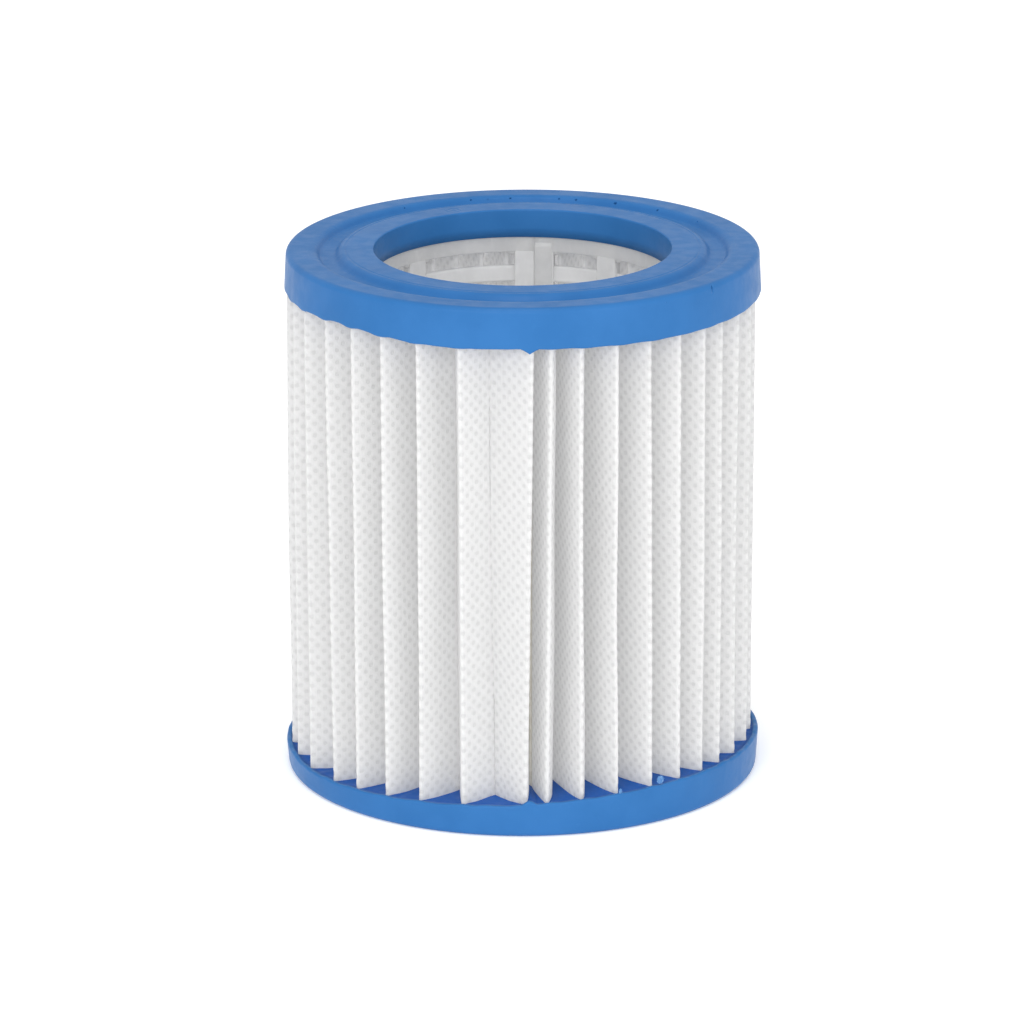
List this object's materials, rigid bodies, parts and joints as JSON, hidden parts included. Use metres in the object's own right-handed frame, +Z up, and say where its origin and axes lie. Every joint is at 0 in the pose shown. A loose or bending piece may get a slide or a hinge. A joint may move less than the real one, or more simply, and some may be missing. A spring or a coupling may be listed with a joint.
{
  "type": "pleated filter cartridge",
  "caption": "Round pleated filter cartridge with a slotted hollow core and a cast ring cap on each end, for a small pool or spa pump.",
  "frame": {"origin": "centre of the bottom cap's lower face, on the cartridge's axis", "axes": "+Z up along the cartridge's axis; the cloth's seam faces -Y"},
  "size_m": [0.09, 0.09, 0.102],
  "materials": {
    "cap_resin": "satin cast polyurethane",
    "filter_cloth": "matt spun-bonded polyester with embossed dots",
    "seam_adhesive": "set hot-melt adhesive",
    "core_plastic": "natural moulded polypropylene"
  },
  "bodies": {
    "root": {"top_end_cap": "cap_resin", "bottom_end_cap": "cap_resin", "pleated_cloth": "filter_cloth", "seam_bead": "seam_adhesive", "core_half_left": "core_plastic", "core_half_right": "core_plastic"}
  },
  "joints": []
}
